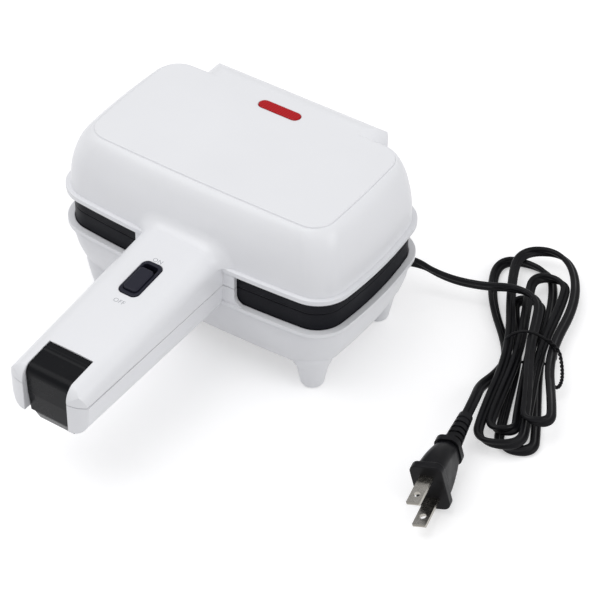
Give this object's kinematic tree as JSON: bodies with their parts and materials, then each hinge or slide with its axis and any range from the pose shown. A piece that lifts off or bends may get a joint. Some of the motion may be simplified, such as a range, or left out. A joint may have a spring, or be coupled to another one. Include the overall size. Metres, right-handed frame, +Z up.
{
  "type": "sandwich iron",
  "caption": "Small hinged sandwich press with two cast plates, a split handle with a latch, a slide switch and a hank-tied mains cord.",
  "frame": {"origin": "centre of the appliance's footprint, handle and hinge hood included, at the level of the feet", "axes": "+Z up; the handle points to -Y and the hinge is at +Y; X runs along the body's long side, the cord lies on the +X side"},
  "size_m": [0.2503, 0.2544, 0.0939],
  "materials": {
    "white_shell": "satin moulded",
    "cast_plate": "dark non-stick coating",
    "heater_sheath": "dull sheath",
    "sheet_metal": "bright sheet",
    "zinc_screw": "zinc plated",
    "phenolic": "moulded",
    "fuse_body": "satin",
    "steel_pin": "ground",
    "black_latch": "gloss moulded",
    "dark_switch": "satin moulded",
    "red_lens": "clear red",
    "lamp_glass": "neon glass",
    "wire_sleeve": "woven glass sleeve",
    "black_cord": "satin flexible",
    "nickel": "nickel plated"
  },
  "bodies": {
    "base": {"lower_shell": "white_shell", "lower_plate": "cast_plate", "lower_heater": "heater_sheath", "lower_heat_shield": "sheet_metal", "lower_shield_screws": "zinc_screw", "lower_plate_screws": "zinc_screw", "lower_handle_cover": "white_shell", "lower_cover_screws": "zinc_screw", "thermostat": "phenolic", "thermal_fuse": "fuse_body", "fuse_strap": "sheet_metal", "terminal_block": "phenolic", "lower_wiring": "wire_sleeve", "hinge_pins": "steel_pin", "cord_bush": "black_cord", "cord_clamp": "phenolic", "clamp_screws": "zinc_screw", "inner_lead": "black_cord", "mains_lead": "black_cord", "cord_hank": "black_cord", "plug_lead": "black_cord", "cord_tie": "black_cord", "plug_body": "black_cord", "plug_blades": "nickel"},
    "lid": {"upper_shell": "white_shell", "upper_plate": "cast_plate", "upper_heater": "heater_sheath", "upper_heat_shield": "sheet_metal", "upper_shield_screws": "zinc_screw", "upper_plate_screws": "zinc_screw", "upper_handle_cover": "white_shell", "upper_cover_screws": "zinc_screw", "upper_wiring": "wire_sleeve", "switch_body": "phenolic", "lamp_lens": "red_lens", "lamp_holder": "phenolic", "neon_lamp": "lamp_glass", "latch_pin": "steel_pin"},
    "latch_body": {"latch": "black_latch", "latch_spring": "steel_pin"},
    "switch": {"switch_slider": "dark_switch"}
  },
  "joints": [
    {"name": "lid_hinge", "type": "hinge", "parent": "base", "child": "lid", "pos_m": [0, 0.0924, 0.052], "axis": [-1, 0, 0], "range_deg": [0, 100]},
    {"name": "latch_pivot", "type": "hinge", "parent": "lid", "child": "latch_body", "pos_m": [0, -0.0837, 0.05826], "axis": [-1, 0, 0], "range_deg": [0, 35], "stiffness_Nm_per_rad": 0.05, "springref_deg": -11.46},
    {"name": "switch_slide", "type": "slide", "parent": "lid", "child": "switch", "axis": [0, 0.9946, 0.1034], "range_m": [0, 0.003]}
  ]
}
